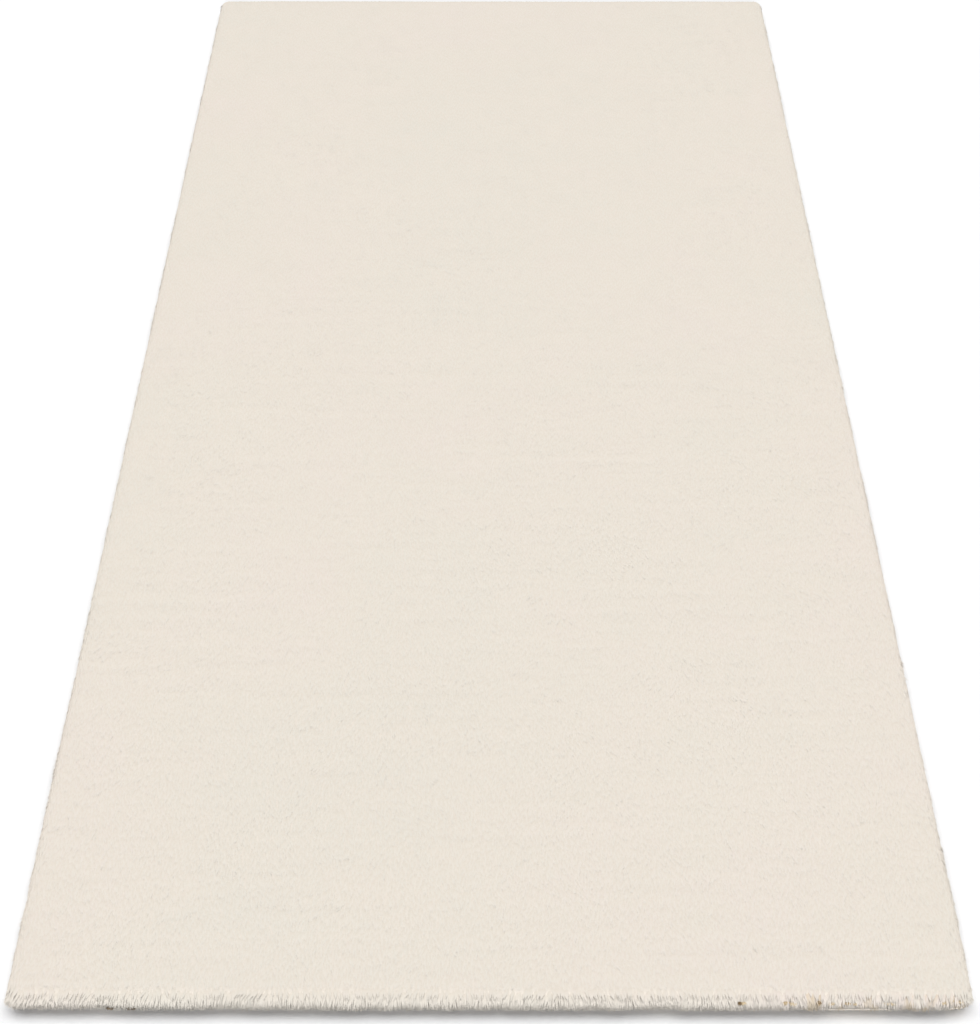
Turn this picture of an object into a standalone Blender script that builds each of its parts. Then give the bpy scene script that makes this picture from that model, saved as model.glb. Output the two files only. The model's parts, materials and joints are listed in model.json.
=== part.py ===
"""A plush shag rug, lying flat on its backing.

Units are metres, +Z is up, and +Y runs along the rug. The origin is on the floor, under the rug's middle.
The rug is two pieces: the pile cloth, a lumpy slab whose rim ends in short pointed locks, and the thin
backing cloth under it, whose edge shows where the locks are short.
"""

import math
import random

import bmesh
import bpy
from mathutils import Vector, noise

# The backing cloth.
RUG_WIDTH = 0.800  # along X
RUG_LENGTH = 1.500  # along Y
CORNER_RADIUS = 0.010
CORNER_STEPS = 6
BACKING_THICKNESS = 0.0020

# The pile cloth.
LAMINATE_GAP = 0.0003  # between the backing and the pile's flat underside
PILE_HEIGHT = 0.0215  # from the underside to the middle of the lumpy top
PILE_BASE = BACKING_THICKNESS + LAMINATE_GAP
RIM_CELLS_X = 50  # cells of the rim along one short side, one lock each
RIM_CELLS_Y = 94  # and along one long side
CELLS_PER_LUMP_FACE = 2  # the field's faces are this many rim cells wide

# The rim's profile, from the top inwards to the flat underside: each ring's distance inside the
# backing's outline (negative is outside it) and its height as a share of the pile's height.
RIM_PROFILE = (
    # ring, inset, height share
    ("crown", 0.0180, 0.995),
    ("shoulder", 0.0070, 0.930),
    ("brow", -0.0002, 0.700),
    ("cheek", -0.0025, 0.380),
    ("foot", -0.0006, 0.000),
)
RING_RADIUS = 0.0010  # a ring's corners are at least this round
LOCK_BANDS = ("cheek", "foot")  # a lock grows from the band of faces that ends at one of these rings

# The soft lumps of the top and the waves of the rim, as smooth noise.
WAVES = (
    # where, wavelength, amplitude
    ("top", 0.150, 0.0014),
    ("top", 0.068, 0.0011),
    ("rim", 0.055, 0.0011),
)

# The locks of pile at the rim. A lock is a four-sided spike with one bend. The nap of the pile runs to the
# front, so the locks are longest there.
LOCK_REACH = {
    # side: shortest and longest, measured out from the rim
    "front": (0.0018, 0.0042),
    "long": (0.0012, 0.0034),
    "far": (0.0012, 0.0034),
}
OVERHANG = 0.0050  # no tip lies further outside the backing's outline
NAP = Vector((0.0, -1.0, 0.0))
LOCK_DROOP = (0.80, 1.45)  # how far a tip hangs below its root's middle, as a share of its reach
LOCK_LEAN = 0.0028  # how far a tip leans along the rim, either way
LOCK_NAP_LEAN = 0.0022  # and how far it leans with the nap, on the long sides
LOCK_BEND = (0.52, 0.38, 0.12)  # the bend's share of the tip's reach, lean and droop
LOCK_WAIST = 0.48  # the lock's size at the bend, as a share of its root
FLOOR_CLEARANCE = 0.0008  # no tip hangs lower
LOCK_SEED = 7
MERGE_DISTANCE = 1e-6  # points this close are one

# Stretches of the front edge where the pile is worn short, so that the backing shows.
BARE_STRETCHES = (
    # middle along X, half its length
    (0.305, 0.034),
    (0.392, 0.012),
)
BARE_DEPTH = 0.020  # no point further than this behind the front edge counts as bare
BARE_FADE = 0.012  # a bare stretch fades out over this length
BARE_INSET = 0.0050  # how far the rim draws back there
BARE_LOCK = 0.25  # a lock's reach there, as a share of its length elsewhere

CREAM_PILE = (0.831, 0.768, 0.693)
CREAM_BACKING = (0.745, 0.665, 0.562)
PILE_ROUGHNESS = 0.92
BACKING_ROUGHNESS = 0.80
SHARP_ANGLE = math.radians(55)


def clear_scene():
    """Remove every object that the file opened with."""
    for leftover in list(bpy.data.objects):
        bpy.data.objects.remove(leftover, do_unlink=True)


def make_material(name, colour, roughness):
    """A cloth material of one colour."""
    material = bpy.data.materials.new(name)
    material.use_nodes = True
    shader = material.node_tree.nodes["Principled BSDF"]
    shader.inputs["Base Color"].default_value = (*colour, 1.0)
    shader.inputs["Roughness"].default_value = roughness
    shader.inputs["Metallic"].default_value = 0.0
    return material


def add_piece(collection, name, bm, material):
    """Turn a finished bmesh into an object of the rug's collection."""
    mesh = bpy.data.meshes.new(name)
    bm.to_mesh(mesh)
    bm.free()
    mesh.materials.append(material)
    mesh.shade_smooth()
    mesh.set_sharp_from_angle(angle=SHARP_ANGLE)
    piece = bpy.data.objects.new(name, mesh)
    collection.objects.link(piece)
    return piece


def smooth_step(value):
    """0 below 0, 1 above 1, and an even curve between."""
    share = min(max(value, 0.0), 1.0)
    return share * share * (3.0 - 2.0 * share)


def wave(where, x, y):
    """The height of the named surface's lumps or waves at a place, in metres."""
    total = 0.0
    for layer, (name, wavelength, amplitude) in enumerate(WAVES):
        if name == where:
            total += amplitude * noise.noise(Vector((x / wavelength, y / wavelength, layer)))
    return total


def bareness(x, y):
    """How worn the rim is at a place: 1 in a bare stretch of the front edge and 0 elsewhere."""
    if y > BARE_DEPTH - RUG_LENGTH / 2:
        return 0.0
    return max(
        smooth_step((half_length + BARE_FADE - abs(x - middle)) / BARE_FADE)
        for middle, half_length in BARE_STRETCHES
    )


def rim_place(across, inset):
    """A place on the rounded outline drawn this far inside the backing's, and the direction out of it.

    across is the place on a square from -1 to 1. Each side of the square is bent onto one side of the
    outline and half the arc at each end, so its corners fall at the middle of the round corners.
    """
    along = 0 if abs(across[1]) > abs(across[0]) - MERGE_DISTANCE else 1
    half = (RUG_WIDTH / 2 - inset, RUG_LENGTH / 2 - inset)
    radius = max(CORNER_RADIUS - inset, RING_RADIUS)
    straight = half[along] - radius
    distance = abs(across[along]) * (straight + radius * math.pi / 4)
    turn = max(0.0, distance - straight) / radius
    place = Vector((0.0, 0.0, 0.0))
    outward = Vector((0.0, 0.0, 0.0))
    signs = [math.copysign(1.0, value) for value in across]
    place[along] = signs[along] * (min(distance, straight) + radius * math.sin(turn))
    place[1 - along] = signs[1 - along] * (half[1 - along] - radius + radius * math.cos(turn))
    outward[along] = signs[along] * math.sin(turn)
    outward[1 - along] = signs[1 - along] * math.cos(turn)
    return place, outward


def ring_place(across, inset, height_share):
    """The place of one point of a rim ring, with the rim's waves, bare stretches and the top's lumps."""
    place, outward = rim_place(across, inset)
    x, y = place.x, place.y
    place += outward * (wave("rim", x, y) - BARE_INSET * bareness(x, y))
    place.z = PILE_BASE + height_share * (PILE_HEIGHT + wave("top", x, y))
    return place


def make_field(bm):
    """The grid of the lumpy top, with its border cut to the rim's finer cells.

    Returns each border vertex's place on the square from -1 to 1.
    """
    bmesh.ops.create_grid(
        bm,
        x_segments=RIM_CELLS_X // CELLS_PER_LUMP_FACE,
        y_segments=RIM_CELLS_Y // CELLS_PER_LUMP_FACE,
        size=1.0,
    )
    border = [edge for edge in bm.edges if edge.is_boundary]
    bmesh.ops.subdivide_edges(bm, edges=border, cuts=CELLS_PER_LUMP_FACE - 1)
    squares = {vert: vert.co.xy.copy() for vert in bm.verts if vert.is_boundary}
    crown_inset, crown_share = RIM_PROFILE[0][1:]
    half_x = RUG_WIDTH / 2 - crown_inset
    half_y = RUG_LENGTH / 2 - crown_inset
    for vert in bm.verts:
        x, y = vert.co.x * half_x, vert.co.y * half_y
        vert.co = (x, y, PILE_BASE + PILE_HEIGHT + wave("top", x, y))
    for vert, square in squares.items():
        vert.co = ring_place(square, crown_inset, crown_share)
    return squares


def grow_rim(bm, squares):
    """Extrude the border outwards and down, ring by ring. Returns each band's faces and the last ring."""
    bands = {}
    ring = [edge for edge in bm.edges if edge.is_boundary]
    for name, inset, height_share in RIM_PROFILE[1:]:
        grown = bmesh.ops.extrude_edge_only(bm, edges=ring)["geom"]
        bands[name] = [item for item in grown if isinstance(item, bmesh.types.BMFace)]
        outer_squares = {}
        for vert in [item for item in grown if isinstance(item, bmesh.types.BMVert)]:
            neighbours = [edge.other_vert(vert) for edge in vert.link_edges]
            outer_squares[vert] = next(squares[inner] for inner in neighbours if inner in squares)
            vert.co = ring_place(outer_squares[vert], inset, height_share)
        squares = outer_squares
        ring = [edge for edge in bm.edges if edge.is_boundary]
    return bands, ring


def around_the_rim(faces):
    """The faces in order of their direction from the rug's middle."""

    def direction(face):
        middle = face.calc_center_median()
        return math.atan2(middle.y, middle.x)

    return sorted(faces, key=direction)


def choose_lock_roots(bands, draw):
    """One face of each column of the rim, from the upper or the lower band."""
    upper_name, lower_name = LOCK_BANDS
    lower_band = set(bands[lower_name])
    roots = []
    for upper in around_the_rim(bands[upper_name]):
        lower = next(
            face for edge in upper.edges for face in edge.link_faces if face in lower_band
        )
        roots.append(draw.choice((upper, lower)))
    return roots


def lock_reach(outward, draw):
    """A lock's length out of the rim, drawn between the lengths of the side or sides that it faces."""
    facing = {"long": outward.x**2, "far": max(outward.y, 0.0) ** 2, "front": min(outward.y, 0.0) ** 2}
    shortest = sum(share * LOCK_REACH[side][0] for side, share in facing.items())
    longest = sum(share * LOCK_REACH[side][1] for side, share in facing.items())
    return draw.uniform(shortest, longest)


def hold_inside(point):
    """Bring a lock's tip back inside the rug's greatest reach, and up off the floor or the backing."""
    most_x = RUG_WIDTH / 2 + OVERHANG
    most_y = RUG_LENGTH / 2 + OVERHANG
    point.x = min(max(point.x, -most_x), most_x)
    point.y = min(max(point.y, -most_y), most_y)
    lowest = PILE_BASE + FLOOR_CLEARANCE if bareness(point.x, point.y) > 0 else FLOOR_CLEARANCE
    point.z = max(point.z, lowest)


def grow_locks(bm, roots, draw):
    """Extrude each root face into a spike that bends down and ends in a point."""
    bend_reach, bend_lean, bend_droop = LOCK_BEND
    tips = []
    bends = []
    for face in around_the_rim(bmesh.ops.extrude_discrete_faces(bm, faces=roots)["faces"]):
        face.normal_update()
        middle = face.calc_center_median()
        outward = Vector((face.normal.x, face.normal.y, 0.0)).normalized()
        sideways = Vector((-outward.y, outward.x, 0.0))
        bare = bareness(middle.x, middle.y)
        reach = lock_reach(outward, draw) * (1.0 - (1.0 - BARE_LOCK) * bare)
        droop = draw.uniform(*LOCK_DROOP) * reach
        lean = draw.uniform(-LOCK_LEAN, LOCK_LEAN) + LOCK_NAP_LEAN * sideways.dot(NAP)
        tip = middle + outward * reach + sideways * lean - Vector((0.0, 0.0, droop))
        hold_inside(tip)
        bend = middle + outward * reach * bend_reach + sideways * lean * bend_lean
        bend.z -= droop * bend_droop
        for vert in face.verts:
            vert.co = bend + (vert.co - middle) * LOCK_WAIST
        bends.append(face)
        tips.append(tip)
    ends = around_the_rim(bmesh.ops.extrude_discrete_faces(bm, faces=bends)["faces"])
    points = []
    for end, tip in zip(ends, tips):
        for vert in end.verts:
            vert.co = tip
            points.append(vert)
    bmesh.ops.remove_doubles(bm, verts=points, dist=MERGE_DISTANCE)


def make_plush_pile(collection):
    """The pile cloth: a lumpy slab with a rounded rim and one pointed lock for each cell of the rim."""
    draw = random.Random(LOCK_SEED)
    bm = bmesh.new()
    squares = make_field(bm)
    bands, foot = grow_rim(bm, squares)
    roots = choose_lock_roots(bands, draw)
    bmesh.ops.holes_fill(bm, edges=foot, sides=0)
    bmesh.ops.recalc_face_normals(bm, faces=bm.faces)
    grow_locks(bm, roots, draw)
    return add_piece(
        collection, "plush_pile", bm, make_material("cream_pile", CREAM_PILE, PILE_ROUGHNESS)
    )


def make_backing_sheet(collection):
    """The backing cloth: a thin flat sheet with round corners, on the floor."""
    bm = bmesh.new()
    bmesh.ops.create_cube(bm, size=1.0)
    bmesh.ops.scale(bm, vec=(RUG_WIDTH, RUG_LENGTH, BACKING_THICKNESS), verts=bm.verts)
    bmesh.ops.translate(bm, vec=(0.0, 0.0, BACKING_THICKNESS / 2), verts=bm.verts)
    upright = [edge for edge in bm.edges if edge.verts[0].co.z != edge.verts[1].co.z]
    bmesh.ops.bevel(
        bm,
        geom=upright,
        offset=CORNER_RADIUS,
        segments=CORNER_STEPS,
        profile=0.5,
        affect="EDGES",
    )
    return add_piece(
        collection, "backing_sheet", bm, make_material("cream_backing", CREAM_BACKING, BACKING_ROUGHNESS)
    )


def main():
    clear_scene()
    collection = bpy.data.collections.new("shag_rug")
    bpy.context.scene.collection.children.link(collection)
    make_backing_sheet(collection)
    make_plush_pile(collection)


main()
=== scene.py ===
# %% [markdown]
# # A plush shag rug
#
# The real rug is two cloths laminated together: a thin smooth backing, and a long dense pile of fine
# fibres that stands on it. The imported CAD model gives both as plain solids, which fix their size and
# place. This lesson dresses them: a backing cloth, the body of the pile, and the pointed locks of fibre
# that make its surface and its soft edge.

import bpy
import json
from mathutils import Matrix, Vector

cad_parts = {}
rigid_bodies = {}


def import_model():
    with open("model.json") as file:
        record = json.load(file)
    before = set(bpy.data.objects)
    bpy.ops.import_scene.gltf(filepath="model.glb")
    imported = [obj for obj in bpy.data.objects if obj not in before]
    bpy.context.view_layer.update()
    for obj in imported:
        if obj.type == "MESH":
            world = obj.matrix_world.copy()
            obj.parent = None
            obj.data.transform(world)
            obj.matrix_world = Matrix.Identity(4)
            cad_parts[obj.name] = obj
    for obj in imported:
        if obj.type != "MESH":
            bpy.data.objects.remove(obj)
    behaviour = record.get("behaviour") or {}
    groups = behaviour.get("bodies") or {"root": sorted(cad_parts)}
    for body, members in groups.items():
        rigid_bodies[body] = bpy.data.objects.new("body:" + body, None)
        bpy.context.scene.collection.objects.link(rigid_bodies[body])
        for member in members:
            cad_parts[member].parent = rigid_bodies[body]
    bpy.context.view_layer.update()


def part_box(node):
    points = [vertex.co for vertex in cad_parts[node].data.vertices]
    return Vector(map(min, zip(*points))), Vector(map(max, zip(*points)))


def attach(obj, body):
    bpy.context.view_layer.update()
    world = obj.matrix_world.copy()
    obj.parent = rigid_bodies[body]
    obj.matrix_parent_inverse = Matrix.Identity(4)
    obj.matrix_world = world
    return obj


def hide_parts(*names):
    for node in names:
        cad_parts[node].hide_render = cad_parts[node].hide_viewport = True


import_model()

# %% Modules
import json
import math

import bpy
import numpy as np
from mathutils import Matrix

MM = 0.001  # the scene is in metres, but sizes are easier to read in millimetres

# %% [markdown]
# ## The camera
#
# The photo looks along the rug from in front of its near edge and well above it. The camera's place and
# angles come from fitting the rug's four edges to the photo's outline, with a usual lens of about 50 mm.
# A camera in Blender looks along its own -Z axis, so one tipped 90 degrees about X looks at the horizon.

# %% Camera
CAMERA_PLACE = (0.0018, -1.1766, 1.1850)
CAMERA_DOWN, CAMERA_TURN, CAMERA_ROLL = 50.926, 0.118, -0.039  # degrees
LENS = 49.97  # mm on a 36 mm sensor, which lies along the frame's long side


def turn(degrees, axis):
    """The rotation matrix about one of the axes X, Y and Z."""
    return Matrix.Rotation(math.radians(degrees), 4, axis)


def placed(name, data, matrix=Matrix.Identity(4)):
    """A new object in the scene, at the origin unless a matrix moves and turns it."""
    thing = bpy.data.objects.new(name, data)
    thing.matrix_world = matrix
    bpy.context.scene.collection.objects.link(thing)
    return thing


lens = bpy.data.cameras.new("camera")
lens.lens = LENS
lens.sensor_width = 36.0
turned = turn(CAMERA_TURN, "Z") @ turn(90.0 - CAMERA_DOWN, "X") @ turn(CAMERA_ROLL, "Z")
bpy.context.scene.camera = placed("camera", lens, Matrix.Translation(CAMERA_PLACE) @ turned)
print("camera at", CAMERA_PLACE, "looking down", CAMERA_DOWN)

# %% [markdown]
# ## Shader maths
#
# A material in Blender is a graph of nodes. To write its sums as plain Python, a small class wraps the
# output of a node, and its +, -, * and ** each add a Math node. Every other node comes from one method,
# which sets a node's settings first, because they decide which sockets it has, and then its inputs.


# %% Wires and looks
class Wire:
    """A number that a material works out at each point: one output of one of its nodes."""

    def __init__(self, look, socket):
        self.look = look
        self.socket = socket

    def maths(self, operation, first, second=0.0):
        return self.look.add("ShaderNodeMath", {"operation": operation}, {0: first, 1: second})

    def __add__(self, other):
        return self.maths("ADD", self, other)

    def __radd__(self, other):
        return self.maths("ADD", other, self)

    def __sub__(self, other):
        return self.maths("SUBTRACT", self, other)

    def __rsub__(self, other):
        return self.maths("SUBTRACT", other, self)

    def __mul__(self, other):
        return self.maths("MULTIPLY", self, other)

    def __rmul__(self, other):
        return self.maths("MULTIPLY", other, self)

    def __pow__(self, other):
        return self.maths("POWER", self, other)


class Look:
    """A material that is built up node by node, round one Principled shader."""

    def __init__(self, name, constants):
        self.material = bpy.data.materials.new(name)
        self.material.use_nodes = True
        self.tree = self.material.node_tree
        self.shader = self.tree.nodes["Principled BSDF"]
        for socket, value in constants.items():
            self.shader.inputs[socket].default_value = value

    def put(self, value, socket):
        """Link a wire to a socket, or set the socket to a plain value."""
        if isinstance(value, Wire):
            self.tree.links.new(value.socket, socket)
        else:
            socket.default_value = value

    def add(self, kind, settings, inputs, output=0):
        """A new node of this kind. A ramp's stops are its "stops" setting. Returns one output."""
        node = self.tree.nodes.new(kind)
        stops = settings.get("stops")
        for setting, value in settings.items():
            if setting != "stops":
                setattr(node, setting, value)
        if stops:
            elements = node.color_ramp.elements
            while len(elements) < len(stops):
                elements.new(1.0)
            for element, stop in zip(elements, stops):
                element.position, element.color = stop
        for socket, value in inputs.items():
            self.put(value, node.inputs[socket])
        return Wire(self, node.outputs[output])

    def mix(self, factor, first, second, blend="MIX"):
        """A colour between two others, through a Mix node."""
        settings = {"data_type": "RGBA", "blend_type": blend}
        return self.add("ShaderNodeMix", settings, {0: factor, 6: first, 7: second}, output=2)

    def shade(self, socket, wire):
        """Feed one of the shader's own sockets."""
        self.put(wire, self.shader.inputs[socket])


print("shader helpers are ready")

# %% [markdown]
# ## The studio
#
# The rug lies on a plain white ground, lit so softly that only a narrow shadow lies round it. Two broad
# key lamps stand high behind it, to the left and right, and throw the shadow to both sides and the front.
# A low fill lamp in front reaches the near edge's fringe, but hardly the ground. A white world fills in
# from all sides, and the Standard view shows the ground as white.

# %% Floor and lights
FLOOR_SIZE = 70.0  # so wide that its edge lies far off
LAMPS = (
    # name, degrees above the horizon, round from behind the rug and across, strength
    ("left_key", 70.0, 60.0, 38.0, 1.38),
    ("right_key", 70.0, -60.0, 38.0, 1.38),
    ("fill_light", 9.0, 180.0, 30.0, 2.1),
)
WORLD_STRENGTH = 0.185

floor_look = Look("white_ground", {"Base Color": (0.92, 0.92, 0.925, 1.0), "Roughness": 0.85})
half_floor = FLOOR_SIZE / 2
floor_corners = [(x * half_floor, y * half_floor, 0) for x, y in ((-1, -1), (1, -1), (1, 1), (-1, 1))]
floor_mesh = bpy.data.meshes.new("floor")
floor_mesh.from_pydata(floor_corners, [], [(0, 1, 2, 3)])
floor_mesh.materials.append(floor_look.material)
floor = placed("floor", floor_mesh)

for name, elevation, azimuth, spread, strength in LAMPS:
    lamp = bpy.data.lights.new(name, "SUN")
    lamp.angle = math.radians(spread)
    lamp.energy = strength
    placed(name, lamp, turn(azimuth, "Z") @ turn(elevation - 90.0, "X"))

world = bpy.data.worlds.new("studio")
world.use_nodes = True
backdrop = world.node_tree.nodes["Background"]
backdrop.inputs["Color"].default_value = (0.985, 0.99, 1.0, 1.0)
backdrop.inputs["Strength"].default_value = WORLD_STRENGTH
bpy.context.scene.world = world
bpy.context.scene.view_settings.view_transform = "Standard"
print(len(LAMPS), "lamps and a world of", WORLD_STRENGTH)

# %% [markdown]
# ## Soft chance
#
# Nothing on a real rug is quite even: its pile rises and falls, its edge wavers, its colour drifts. All
# of that is one function of place, random but smooth, whose fixed seed gives the same rug every time. It
# draws a number for each corner of a lattice and blends the four round a place with an S-shaped curve.


# %% Soft noise
LATTICE = 256
LATTICE_MIDDLE = (LATTICE / 2 + 0.37, LATTICE / 2 + 0.61)  # so that no cell starts at 0


def smooth_step(value):
    """0 below 0, 1 above 1, and the curve 3 t squared minus 2 t cubed between."""
    share = np.clip(value, 0.0, 1.0)
    return share * share * (3.0 - 2.0 * share)


def between(first, last, share):
    """The value a share of the way from the first to the last."""
    return first + (last - first) * share


def soft_noise(x, y, size_x, size_y, seed):
    """Smooth chance between -1 and 1: the numbers at the corners of a lattice whose cells are size_x by
    size_y, mixed across each cell by smooth_step."""
    table = np.random.default_rng(seed).uniform(-1.0, 1.0, (LATTICE, LATTICE))
    across = x / size_x + LATTICE_MIDDLE[0]
    along = y / size_y + LATTICE_MIDDLE[1]
    i, j = np.floor(across).astype(int), np.floor(along).astype(int)
    u, v = smooth_step(across - i), smooth_step(along - j)
    i, j = i % LATTICE, j % LATTICE
    right, up = (i + 1) % LATTICE, (j + 1) % LATTICE
    near = table[i, j] * (1.0 - u) + table[right, j] * u
    far = table[i, up] * (1.0 - u) + table[right, up] * u
    return near * (1.0 - v) + far * v


class Layer:
    """A layer of soft chance: its strength, the two sizes of its cells in millimetres, and its seed."""

    def __init__(self, strength, size_x, size_y, seed):
        self.strength, self.sizes, self.seed = strength, (size_x * MM, size_y * MM), seed


def soft_layers(x, y, layers):
    """Layers of soft chance, added up."""
    return sum(row.strength * soft_noise(x, y, *row.sizes, row.seed) for row in layers)


sample = soft_noise(np.linspace(0, 1, 1000), np.zeros(1000), 0.05, 0.05, 1)
print("soft noise runs from", sample.min().round(2), "to", sample.max().round(2))

# %% [markdown]
# ## Meshes from arrays
#
# A mesh is a list of points and a list of faces that name them. foreach_set copies a whole numpy array
# into the mesh at once, which is far quicker than a loop. The normals, the ways that shading takes a
# surface to face, are given too, so that thousands of small locks shade together as one soft surface.


# %% Mesh makers
def new_piece(name, mesh, material):
    """An object for a finished mesh, at the origin, with its finish."""
    mesh.materials.append(material)
    return placed(name, mesh)


def mesh_of_triangles(name, points, triangles, normals, map_places):
    """A mesh from arrays: points, the triangles' corners, and the points' normals and map places."""
    mesh = bpy.data.meshes.new(name)
    mesh.vertices.add(len(points))
    mesh.vertices.foreach_set("co", points.astype(np.float32).ravel())
    mesh.loops.add(triangles.size)
    mesh.loops.foreach_set("vertex_index", triangles.astype(np.int32).ravel())
    mesh.polygons.add(len(triangles))
    mesh.polygons.foreach_set("loop_start", np.arange(0, triangles.size, 3, dtype=np.int32))
    mesh.update(calc_edges=True)
    mesh.shade_smooth()
    layer = mesh.uv_layers.new(name="OFBake")
    layer.uv.foreach_set("vector", map_places[triangles.ravel()].astype(np.float32).ravel())
    mesh.normals_split_custom_set_from_vertices(normals.astype(np.float32))
    return mesh


def unit(vectors):
    """Each vector divided by its length."""
    return vectors / np.maximum(np.linalg.norm(vectors, axis=-1, keepdims=True), 1e-12)


print("mesh makers are ready")

# %% [markdown]
# ## The rug's outline
#
# Both cloths share one outline, a rectangle with round corners, whose size comes from the CAD solids'
# boxes. It is read off as a function of the distance along it: the corner arcs are sampled, and straight
# sides join them by themselves when numpy interpolates.

# %% Outline
backing_low, backing_high = (np.array(corner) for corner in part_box("backing_sheet"))
pile_low, pile_high = (np.array(corner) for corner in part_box("plush_pile"))
HALF_X, HALF_Y = (backing_high - backing_low)[:2] / 2
BACKING_TOP = backing_high[2]
PILE_FOOT = BACKING_TOP + 0.7 * MM
CORNER_RADIUS = 10 * MM

arc = np.linspace(0.0, math.pi / 2, 17)
corner_angles = np.concatenate([arc + quarter * math.pi / 2 for quarter in range(4)])
corner_signs = np.repeat(np.array([(1, 1), (-1, 1), (-1, -1), (1, -1)]), len(arc), axis=0)
outline_angles = np.append(corner_angles, 2 * math.pi)
corner_arcs = CORNER_RADIUS * np.stack([np.cos(corner_angles), np.sin(corner_angles)], 1)
outline_points = corner_signs * (HALF_X - CORNER_RADIUS, HALF_Y - CORNER_RADIUS) + corner_arcs
outline_points = np.concatenate([outline_points, outline_points[:1]])
outline_steps = np.linalg.norm(np.diff(outline_points, axis=0), axis=1)
outline_distance = np.concatenate([[0.0], np.cumsum(outline_steps)])
PERIMETER = outline_distance[-1]


def on_outline(distance):
    """The place on the outline this far along it, anticlockwise, and the direction out of it."""
    x, y, angle = (
        np.interp(distance, outline_distance, column) for column in (*outline_points.T, outline_angles)
    )
    return np.stack([x, y], -1), np.stack([np.cos(angle), np.sin(angle)], -1)


print("outline", round(PERIMETER, 3), "m round, backing top", round(float(BACKING_TOP), 4))

# %% [markdown]
# ## The front edge
#
# The near edge carries the fringe of the nap. It draws in a little towards its right corner, and at two
# stretches on the right the pile is worn back from the backing's lip. Each of these is a share between 0
# and 1 at a place, and the pieces below multiply their own sizes by it.

# %% Where the front edge differs
FRINGE_START, FRINGE_FADE = 12 * MM, 6 * MM  # behind the front edge
CORNER_DRAW = 1.6 * MM  # towards its right corner the edge draws in by this much
DRAW_START, DRAW_END = 366 * MM, 402 * MM  # between these places along X
WORN_STRETCHES = ((0.305, 0.022), (0.392, 0.006))  # middle along X and half length, in metres
WORN_FADE = 16 * MM
WORN_DEPTH = 40 * MM  # no place further behind the front edge is worn


def by_the_front(y):
    """0 a corner's radius behind the front edge, and an S curve up to 1 at the edge and beyond."""
    return smooth_step((-y - HALF_Y + CORNER_RADIUS) / CORNER_RADIUS)


def in_the_fringe(y, start=FRINGE_START):
    """0 further than start behind the front edge, and an S curve over FRINGE_FADE up to 1 nearer."""
    return smooth_step((-y - HALF_Y + start) / FRINGE_FADE)


def corner_draw(x, y):
    """How far the front edge draws in at a place: an S curve along X, and only near the front."""
    return CORNER_DRAW * smooth_step((x - DRAW_START) / (DRAW_END - DRAW_START)) * by_the_front(y)


def worn(x, y):
    """How worn the edge is at a place, from 0 to 1: an S curve down from each stretch's ends."""
    shares = (half + WORN_FADE - np.abs(x - middle) for middle, half in WORN_STRETCHES)
    share = np.max([smooth_step(share / WORN_FADE) for share in shares], axis=0)
    return share * (y < WORN_DEPTH - HALF_Y)


print("worn at X", [middle for middle, _ in WORN_STRETCHES])

# %% [markdown]
# ## A slab with a rounded rim
#
# Both cloths are slabs: a flat grid, a rim of rings that turn down round its edge, and a flat underside.
# A bevelled cube would do for a plain slab, but its rim could not curl, tuck and waver. Here each grid
# line carries the number of its ring, 0 inside, and a point's ring is the larger of its two lines'. In a
# corner that pair of numbers is a place on a square. Part of the way to a circle, it is round enough.


# %% Slab maker
def slab_lines(half, depth, rings, cell):
    """Along one axis: where each grid line's straight part is, and its signed ring number."""
    inner = half - depth
    places = np.linspace(-inner, inner, round(2 * inner / cell) + 1)
    outer = np.arange(1, rings + 1)
    flat = np.concatenate([np.full(rings, -inner), places, np.full(rings, inner)])
    return flat, np.concatenate([-outer[::-1], np.zeros(len(places), int), outer])


def slab(name, cells, depth, inset, height, move):
    """A closed slab. inset and height give each ring's distance inside the outline and its height, and
    depth is the rim's own. move takes the points, outward directions and rings, and shifts the points. A
    point is its grid line's straight part, plus its ring's reach times its place between a square and a
    circle, nearer to the circle the closer its reach is to the corner's radius."""
    rings = len(inset) - 1
    reach = depth - inset
    flat_x, ring_x = slab_lines(HALF_X, depth, rings, cells[0])
    flat_y, ring_y = slab_lines(HALF_Y, depth, rings, cells[1])
    base = np.stack(np.meshgrid(flat_x, flat_y, indexing="ij"), -1)
    steps = np.stack(np.meshgrid(ring_x, ring_y, indexing="ij"), -1).astype(float)
    ring = np.abs(steps).max(-1).astype(int)
    outward = unit(steps)
    on_square = steps / np.maximum(ring, 1)[..., None]
    roundness = np.minimum(CORNER_RADIUS / np.maximum(reach[ring], 1e-9), 1.0)[..., None]
    flat = base + (on_square * (1.0 - roundness) + outward * roundness) * reach[ring][..., None]
    points = move(np.concatenate([flat, height[ring][..., None]], -1), outward, ring)

    number = np.arange(ring.size).reshape(ring.shape)
    quads = np.stack([number[:-1, :-1], number[1:, :-1], number[1:, 1:], number[:-1, 1:]], -1)
    border = np.concatenate([number[:-1, 0], number[-1, :-1], number[:0:-1, -1], number[0, :0:-1]])
    mesh = bpy.data.meshes.new(name)
    mesh.from_pydata(points.reshape(-1, 3), [], quads.reshape(-1, 4).tolist() + [border[::-1].tolist()])
    mesh.shade_smooth()
    mesh.set_sharp_from_angle(angle=math.radians(50))
    return mesh


print("slab maker is ready")

# %% [markdown]
# ## The backing cloth
#
# Under the pile lies a thin smooth cloth, the whole of the rug's underside. Under the front edge's fringe
# it ends a little further in, and where the pile is worn back its edge curls out and up as a cream lip.
# It is a slab 2 mm thick with a softly rounded edge, whose outer rings are moved.

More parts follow.
